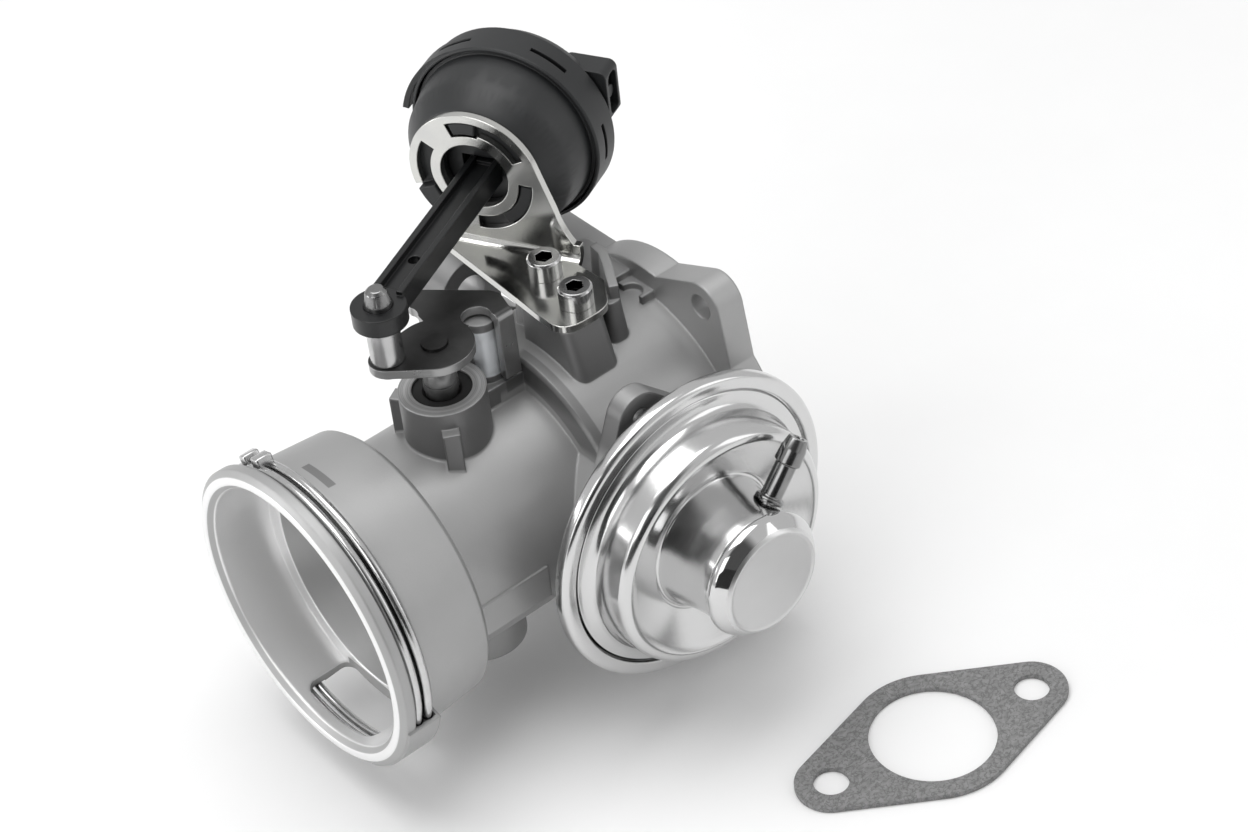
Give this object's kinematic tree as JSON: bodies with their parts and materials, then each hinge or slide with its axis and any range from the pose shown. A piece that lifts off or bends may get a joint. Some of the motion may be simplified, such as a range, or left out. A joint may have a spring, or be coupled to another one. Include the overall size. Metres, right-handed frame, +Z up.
{
  "type": "EGR valve with throttle flap",
  "caption": "Vacuum-operated EGR valve: aluminium throttle body with flap, lever and vacuum can, steel diaphragm chamber on the side, spring-clip inlet collar and a loose gasket.",
  "frame": {"origin": "centre of the outlet bore on the mating face of the outlet flange", "axes": "+X along the main bore out of the outlet, +Z up along the flap shaft, -Y towards the EGR diaphragm chamber"},
  "size_m": [0.1473, 0.1839, 0.1434],
  "materials": {
    "cast_alloy": "fine cast, blasted",
    "spring_steel": "bright drawn wire",
    "bright_steel": "bright",
    "zinc_sheet": "zinc plated, shiny",
    "dark_steel": "phosphated",
    "black_plastic": "moulded, satin",
    "rubber_black": "matt",
    "bronze": "sintered",
    "heat_steel": "turned",
    "graphite": "woven graphite sheet"
  },
  "bodies": {
    "valve_body": {"housing": "cast_alloy", "inlet_spring_clip": "spring_steel", "upper_shaft_bush": "bronze", "lower_shaft_bush": "bronze", "shaft_seal": "rubber_black", "shaft_end_plug": "bright_steel", "actuator_bracket": "zinc_sheet", "bracket_screws": "bright_steel", "actuator_front_shell": "black_plastic", "actuator_rear_cover": "black_plastic", "diaphragm_lower_shell": "zinc_sheet", "diaphragm_upper_shell": "zinc_sheet", "nose_cap": "zinc_sheet", "vacuum_nipple": "bright_steel", "valve_seat_ring": "heat_steel", "stem_guide_bush": "bronze", "stem_shield": "heat_steel", "outlet_seal_ring": "rubber_black", "egr_gasket": "graphite"},
    "flap": {"flap_shaft": "bright_steel", "flap_plate": "heat_steel", "flap_screws": "bright_steel", "lever_plate": "dark_steel", "link_pin": "bright_steel"},
    "rod": {"link_rod": "black_plastic"},
    "actuator_piston": {"actuator_piston": "black_plastic", "actuator_diaphragm": "rubber_black", "actuator_spring": "spring_steel"},
    "egr_stem": {"valve_stem": "heat_steel", "stem_rivet": "bright_steel", "valve_poppet": "heat_steel", "diaphragm_washer": "heat_steel", "diaphragm_cup": "heat_steel", "egr_diaphragm": "rubber_black", "egr_spring": "spring_steel"}
  },
  "joints": [
    {"name": "flap_turn", "type": "hinge", "parent": "valve_body", "child": "flap", "pos_m": [-0.068, 0, 0], "axis": [0, 0, 1], "range_deg": [-88, 0]},
    {"name": "rod_turn", "type": "hinge", "parent": "flap", "child": "rod", "pos_m": [-0.07889, 0.00371, 0.068], "axis": [0, 0, 1], "range_deg": [0, 88]},
    {"name": "actuator_stroke", "type": "slide", "parent": "valve_body", "child": "actuator_piston", "axis": [0.8976, 0.4407, 0], "range_m": [0, 0.0163], "deforming": ["actuator_spring", "actuator_diaphragm"]},
    {"name": "egr_lift", "type": "slide", "parent": "valve_body", "child": "egr_stem", "axis": [0, -1, 0], "range_m": [0, 0.0055], "stiffness_N_per_m": 1200, "springref_m": -0.002, "deforming": ["egr_spring", "egr_diaphragm"]}
  ],
  "couplings": [
    {"joint": "rod_turn", "follows": "flap_turn", "ratio": -1},
    {"joint": "actuator_stroke", "follows": "flap_turn", "m_per_rad": -0.01038}
  ]
}
